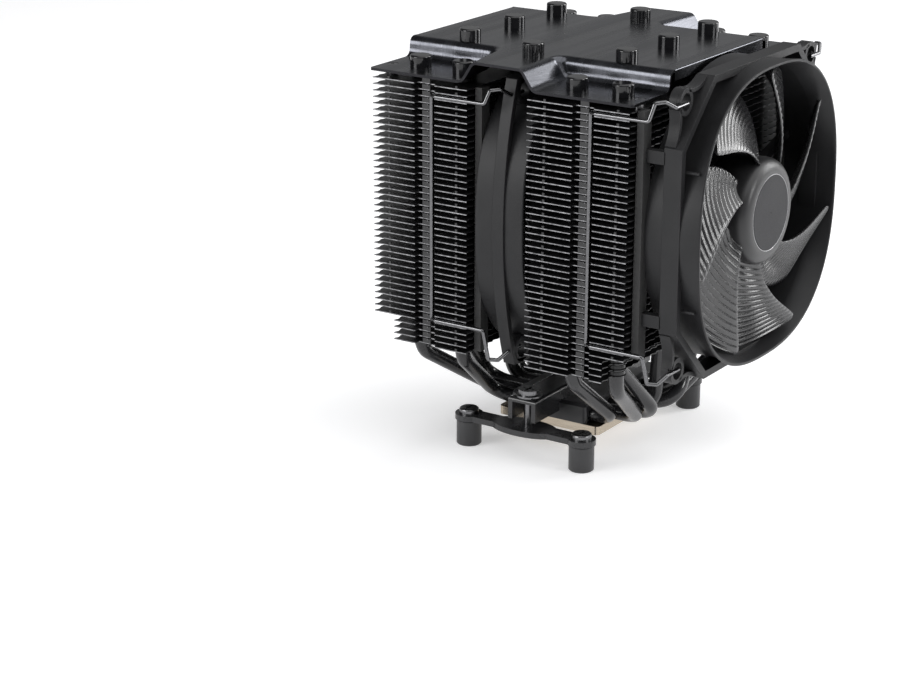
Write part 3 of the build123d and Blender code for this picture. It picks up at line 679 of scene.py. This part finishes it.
# A blade's leading edge sweeps back towards the hub, in degrees, and its ends sit behind the fan's
# front, in millimetres. Its chord is given in degrees at the hub, and as gains at the tip and midway.
LEAD_SWEEP = 37.0
CHORD = 25.0
CHORD_TIP_GAIN = 10.5
CHORD_MIDWAY_GAIN = 10.0
LEAD_DEPTH = 3.0
LEAD_HUB_DROP = 2.0
TRAIL_DEPTH = 14.5
TRAIL_HUB_RISE = 5.0
BLADE_CAMBER = 1.8
TIP_CORNER = 0.09
TIP_CORNER_CUT = 0.14

HUB_SET_BACK = 1.8
HUB_SHOULDER = (5.9, 6.0)
HUB_REAR = 4.2
HUB_WALL = 2.0
BADGE_SINK = 0.3
BADGE_RING_RADIUS = 0.17


def blade_place(fan, radius, share, face):
    """Point on a ribbed blade: share runs from the leading to the trailing edge, face from -1 to 1."""
    outward = (radius - HUB_RADIUS) / (fan["blade_tip"] - HUB_RADIUS)
    inward = max(0.0, 1 - outward)
    corner = min(1.0, max(0.0, (outward - 1 + TIP_CORNER) / TIP_CORNER))
    share = 0.5 + (share - 0.5) * (1 - TIP_CORNER_CUT * (1 - math.sqrt(1 - corner * corner)))
    lead_turn = fan["phase"] - LEAD_SWEEP * inward ** 1.45
    midway = max(0.0, math.sin(math.pi * outward)) ** 0.9
    chord_turn = CHORD + CHORD_TIP_GAIN * outward + CHORD_MIDWAY_GAIN * midway
    front = fan["depth"] - LEAD_DEPTH - LEAD_HUB_DROP * inward * inward
    rear = fan["depth"] - TRAIL_DEPTH + TRAIL_HUB_RISE * inward ** 1.6
    camber = BLADE_CAMBER * math.sin(math.pi * share)
    edge = (1 - abs(2 * share - 1) ** 12) ** 0.5
    half = (0.4 + 0.85 * (1 - share) * (1 - 0.15 * outward)) * edge
    rib = RIB_HEIGHT * (2 * abs(math.cos(math.pi * (radius - HUB_RADIUS) / RIB_PITCH)) - 1.3)
    rib *= 1 - abs(2 * share - 1) ** 5
    height = front + (rear - front) * share - camber + face * (half + rib)
    turn = math.radians(lead_turn - chord_turn * share)
    return radius * math.cos(turn), radius * math.sin(turn), height


def add_blade(shape, fan, number):
    """One blade with ribs that follow the air."""
    first, last = HUB_INNER_RADIUS + 0.6, fan["blade_tip"]
    turn = 2 * math.pi * number / BLADE_COUNT
    c, s = math.cos(turn), math.sin(turn)
    shares = [0.5 - 0.5 * math.cos(math.pi * k / CHORD_STEPS) for k in range(CHORD_STEPS + 1)]
    around = [(share, 1) for share in shares] + [(share, -1) for share in reversed(shares)]
    rows = []
    for k in range(RADIAL_STEPS + 1):
        radius = first + (last - first) * k / RADIAL_STEPS
        row = []
        for share, face in around:
            x, y, z = blade_place(fan, radius, share, face)
            row.append((c * x - s * y, s * x + c * y, z))
        rows.append(row)
    made = shape.grid(rows, close_columns=True)
    for end in (made[0], made[-1]):
        for k in range(CHORD_STEPS):
            shape.face((end[k], end[k + 1], end[-2 - k], end[-1 - k]))


def add_impeller(name, fan, body, hub_finish, blade_finish):
    """Hub cup with a rounded shoulder, and seven ribbed blades."""
    hub = Shape(standing(fan))
    front = fan["depth"] - HUB_SET_BACK
    seat, inside = front - BADGE_SINK, front - HUB_WALL
    across, along = HUB_SHOULDER
    shoulder = bezier((HUB_RADIUS, front - along), (HUB_RADIUS, front), (HUB_RADIUS - across, front), 12)
    profile = [(HUB_INNER_RADIUS, HUB_REAR), (HUB_RADIUS - 0.3, HUB_REAR), (HUB_RADIUS, HUB_REAR + 0.3)]
    profile += shoulder
    profile += [(BADGE_RADIUS + 0.15, front), (BADGE_RADIUS, front - 0.1), (BADGE_RADIUS, seat)]
    profile += [(0.6, seat), (0.6, inside), (HUB_INNER_RADIUS, inside)]
    hub.lathe(profile, 128)
    piece = hub.make(f"{name}_hub", hub_finish)
    crisp(piece, 50)
    settle(piece, body, "blade_plastic", f"{name}_fan_impeller")
    blades = Shape(standing(fan))
    for number in range(BLADE_COUNT):
        add_blade(blades, fan, number)
    piece = blades.make(f"{name}_blades", blade_finish)
    crisp(piece, 50)
    settle(piece, body, "blade_plastic")


def add_badge(name, fan, body, face_finish, ring_finish):
    """Blank disc with a thin bright edge."""
    front = fan["depth"] - HUB_SET_BACK
    disc = Shape(standing(fan))
    radius = BADGE_RADIUS - 0.05
    seat, step = front - BADGE_SINK, front - 0.12
    face = [(0.2, seat), (0.2, front), (radius - 0.5, front)]
    disc.lathe(face + [(radius - 0.35, step), (radius, step), (radius, seat)], 96)
    piece = disc.make(f"{name}_badge_disc", face_finish)
    crisp(piece)
    settle(piece, body, "badge_grey", f"{name}_fan_badge")
    ring = Shape(standing(fan))
    ring_middle = (BADGE_RADIUS, front - BADGE_RING_RADIUS)
    ring.lathe(circle(BADGE_RING_RADIUS, 8, ring_middle), 128)
    piece = ring.make(f"{name}_badge_ring", ring_finish)
    settle(piece, body, "badge_grey")


RIM_POWER = 2.5
MOUTH_POWER = 2.6
FLARE_START = 14.1
FLARE_POWER = 1.5
BARREL_WALL = 1.5
RIM_WALL = 1.3
PLATE_THICKNESS = 2.4
BEARING_TUBE = (3.4, 4.6)
BEARING_TUBE_END = 15.0
STRUT_SECTION = [(-2.0, 0), (2.0, 0), (1.5, 3.0), (-1.5, 3.0)]
STRUT_TURNS = (90, 162, 234, 306, 378)

RAIL_SPAN = (7.6, 15.1)
RAIL_WIDTH = 3.0
SPACER_TABS_Y = (-32.0, 32.0)
SPACER_TAB_HALF = 2.5
SPACER_TAB_INSET = 3.5
BARREL_RIB = (56.0, 27.0)
BARREL_RIB_RADIUS = 0.6
BARREL_RIB_LENGTH = 5.4
EAR_NOTCH_DEPTH = 1.4
STRAP_BEND = [(54.4, 44.2), (57.0, 50.5)]

MIDDLE_BARREL = (66.8, 61.8)
MIDDLE_MOUTH = (65.5, 60.5)
MIDDLE_FLARE = (0.3, 6.0)
BAND_SPAN = (8.6, 13.8)
BAND_WIDTH = 2.2
BAND_CREST = (67.8, 62.3)
FRAME_EDGE = 0.35


def superellipse(half_x, half_y, power, turn):
    """Radius of a rounded rectangle at a turn."""
    c, s = abs(math.cos(turn)), abs(math.sin(turn))
    return ((c / half_x) ** power + (s / half_y) ** power) ** (-1 / power)


def add_barrel(shape, section, count=192):
    """Ring whose cross-section is a function of the turn."""
    rows = []
    for k in range(count):
        turn = 2 * math.pi * k / count
        rows.append([(r * math.cos(turn), r * math.sin(turn), z) for r, z in section(turn)])
    shape.grid(rows, close_rows=True, close_columns=True)


def add_motor_mount(shape, fan):
    """Rear motor plate with a bearing tube, and five struts to the throat."""
    plate, thick, end = MOTOR_PLATE_RADIUS, PLATE_THICKNESS, BEARING_TUBE_END
    bore, tube = BEARING_TUBE
    profile = [(0.5, 0), (plate - 0.4, 0), (plate, 0.4), (plate, thick)]
    profile += [(tube, thick), (tube, end), (bore, end), (bore, thick), (0.5, thick)]
    shape.lathe(profile, 96)
    for degrees in STRUT_TURNS:
        turn = math.radians(degrees)
        c, s = math.cos(turn), math.sin(turn)
        rows = []
        for reach in (plate - 1, fan["throat"] + 0.7):
            rows.append([(c * reach - s * x, s * reach + c * x, z) for x, z in STRUT_SECTION])
        made = shape.grid(rows, close_columns=True)
        for end in made:
            shape.face(end)


def front_section(turn):
    """Cross-section of the front fan's barrel: a straight throat and a flared mouth with a thin rim."""
    inner = FRONT_FAN["throat"]
    outer = inner + BARREL_WALL
    rim = superellipse(RIM_HALF, RIM_HALF, RIM_POWER, turn)
    outer_line, inner_line = [], []
    for k in range(11):
        t = k / 10
        z = FLARE_START + (RIM_FRONT - 0.4 - FLARE_START) * t
        ease = t ** FLARE_POWER
        outer_line.append((outer + (rim - outer) * ease, z))
        inner_line.append((inner + (rim - RIM_WALL - inner) * ease, z))
    edge = [(rim - 0.25, RIM_FRONT), (rim - 1.05, RIM_FRONT)]
    return [(outer, 0), *outer_line, *edge, *inner_line[::-1], (inner, 0)]


def octagon(a, b):
    """Square of half-width a with its corners cut off beyond b."""
    return [(a, b), (b, a), (-b, a), (-a, b), (-a, -b), (-b, -a), (b, -a), (a, -b)]


def ribbon(path, width):
    """Outline of a band of a width along a path."""
    left, right = [], []
    for k, point in enumerate(path):
        before, after = Vector(path[max(k - 1, 0)]), Vector(path[min(k + 1, len(path) - 1)])
        along = (after - before).normalized()
        across = Vector((-along.y, along.x)) * width / 2
        left.append(tuple(Vector(point) + across))
        right.append(tuple(Vector(point) - across))
    return left + right[::-1]


def add_ear(shape, sx, sy):
    """Screw ring and two curved straps, with a notch where the clip's tip enters the ring."""
    low, high = EAR_SPAN
    seat = high - EAR_NOTCH_DEPTH

    def corner(points):
        return [(sx * x, sy * y) for x, y in points]

    centre = (SCREW_PLACE, SCREW_PLACE)
    hole = circle(SCREW_HOLE_RADIUS, 40, centre)
    shape.prism(corner(circle(EAR_RADIUS, 40, centre)), low, seat, [corner(hole)])
    turns = [math.radians(7 + 332 * k / 36) for k in range(37)]
    arcs = []
    for radius in (EAR_RADIUS, SCREW_HOLE_RADIUS):
        arcs.append([(centre[0] + radius * math.cos(t), centre[1] + radius * math.sin(t)) for t in turns])
    shape.prism(corner(arcs[0] + arcs[1][::-1]), seat, high)
    strap = bezier((RAIL_HALF - 0.9, RAIL_STRAIGHT + 0.4), *STRAP_BEND, 14)
    shape.prism(corner(ribbon(strap, EAR_STRAP)), low, high)
    shape.prism(corner(ribbon([(y, x) for x, y in strap], EAR_STRAP)), low, high)


def add_front_frame(finish):
    """Octagonal rail, round barrel, flared inlet, spacer tabs, screw ears and motor mount."""
    fan = FRONT_FAN
    shape = Shape(standing(fan))
    add_barrel(shape, front_section)
    low, high = RAIL_SPAN
    tuck = RAIL_WIDTH * math.tan(math.radians(22.5))
    outer_loop = octagon(RAIL_HALF, RAIL_STRAIGHT)
    inner_loop = octagon(RAIL_HALF - RAIL_WIDTH, RAIL_STRAIGHT - tuck)
    shape.prism(outer_loop, low, high, [inner_loop])
    for side in SIDES:
        for y in SPACER_TABS_Y:
            near, far = sorted((side * (RAIL_HALF - SPACER_TAB_INSET), side * RAIL_HALF))
            shape.box((near, y - SPACER_TAB_HALF, 0), (far, y + SPACER_TAB_HALF, low + 0.5))
    for sx, sy in CORNERS:
        add_ear(shape, sx, sy)
        rib = circle(BARREL_RIB_RADIUS, 12, (sx * BARREL_RIB[0], sy * BARREL_RIB[1]))
        shape.prism(rib, high, high + BARREL_RIB_LENGTH)
    add_motor_mount(shape, fan)
    piece = shape.make("front_frame_body", finish)
    soften(piece, FRAME_EDGE)
    settle(piece, "cooler", "fan_frame_plastic", "front_fan_frame")


def middle_section(turn):
    """Cross-section of the middle fan's barrel, flared at both ends."""
    depth, throat = MIDDLE_FAN["depth"], MIDDLE_FAN["throat"]
    outer = superellipse(*MIDDLE_BARREL, MOUTH_POWER, turn)
    mouth = superellipse(*MIDDLE_MOUTH, MOUTH_POWER, turn)
    shallow, deep = MIDDLE_FLARE
    flare = []
    for k in range(7):
        t = k / 6
        flare.append((throat + (mouth - throat) * t ** FLARE_POWER, deep * (1 - t) + shallow * t))
    line = [(outer - 0.4, 0), (outer, 0.4), (outer, depth - 0.4), (outer - 0.4, depth)]
    line.append((mouth + 0.2, depth))
    line += [(r, depth - z) for r, z in flare[::-1]] + flare + [(mouth + 0.2, 0)]
    return line


def three_point_arc(start, middle, end, count):
    """Points of the circle through three points, from the start to the end."""
    (ax, ay), (bx, by), (cx, cy) = start, middle, end
    d = 2 * (ax * (by - cy) + bx * (cy - ay) + cx * (ay - by))
    aa, bb, cc = ax * ax + ay * ay, bx * bx + by * by, cx * cx + cy * cy
    ux = (aa * (by - cy) + bb * (cy - ay) + cc * (ay - by)) / d
    uy = (aa * (cx - bx) + bb * (ax - cx) + cc * (bx - ax)) / d
    radius = math.hypot(ax - ux, ay - uy)
    first, last = math.atan2(ay - uy, ax - ux), math.atan2(cy - uy, cx - ux)
    sweep = (last - first + math.pi) % (2 * math.pi) - math.pi
    turns = [first + sweep * k / count for k in range(count + 1)]
    return [(ux + radius * math.cos(t), uy + radius * math.sin(t)) for t in turns]


def band_outline(inset):
    """Plan of the middle fan's band: four wide arcs that meet at the ears."""
    cx, cy = SCREW_PLACE + EAR_RADIUS + 0.6 - inset, SCREW_PLACE + EAR_RADIUS - inset
    half_x, half_y = BAND_CREST[0] - inset, BAND_CREST[1] - inset
    corners = [(cx, -cy), (cx, cy), (-cx, cy), (-cx, -cy)]
    crests = [(half_x, 0), (0, half_y), (-half_x, 0), (0, -half_y)]
    points = []
    for start, crest, end in zip(corners, crests, corners[1:] + corners[:1]):
        points += three_point_arc(start, crest, end, 28)[:-1]
    return points


def add_middle_frame(finish):
    """Flared barrel inside a curved band with screw ears."""
    fan = MIDDLE_FAN
    shape = Shape(standing(fan))
    add_barrel(shape, middle_section)
    low, high = BAND_SPAN
    shape.prism(band_outline(0), low, high, [band_outline(BAND_WIDTH)])
    for sx, sy in CORNERS:
        centre = (sx * SCREW_PLACE, sy * SCREW_PLACE)
        ear = circle(EAR_RADIUS + 0.4, 32, centre)
        shape.prism(ear, low, high, [circle(SCREW_HOLE_RADIUS, 32, centre)])
    add_motor_mount(shape, fan)
    piece = shape.make("middle_frame_body", finish)
    soften(piece, FRAME_EDGE)
    settle(piece, "cooler", "fan_frame_plastic", "middle_fan_frame")


# ---------------------------------------------------------------- the whole object


def main():
    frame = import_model()
    bpy.context.scene.view_settings.view_transform = "Standard"
    add_stage()
    add_camera()
    finishes = build_materials()
    for row in frame["record"]["subparts"]:
        for slot in frame["nodes"][row["node"]].material_slots:
            slot.material = finishes[row["material_slot"]]
    for name, direction in (("rear", 1), ("front", -1)):
        # Each fin run takes its coat and a lighter copy of it: painted highlight on the side edges.
        fin_coat_and_highlight = finishes["black_fin"], finishes["painted_highlight_fin_edge"]
        add_fin(f"{name}_fins", direction, SHORT_FIN_COUNT, FIN_COUNT - SHORT_FIN_COUNT, False, *fin_coat_and_highlight)
        add_fin(f"{name}_fins_short", direction, 0, SHORT_FIN_COUNT, True, *fin_coat_and_highlight)
    add_cover(finishes["brushed_black"], finishes["painted_shade_sheet_edge"])
    for name, fan in (("front", FRONT_FAN), ("middle", MIDDLE_FAN)):
        add_impeller(name, fan, f"{name}_rotor", finishes["hub_plastic"], finishes["blade_plastic"])
        add_badge(name, fan, f"{name}_rotor", finishes["badge_grey"], finishes["badge_ring"])
    add_front_frame(finishes["fan_frame_plastic"])
    add_middle_frame(finishes["fan_frame_plastic"])


main()
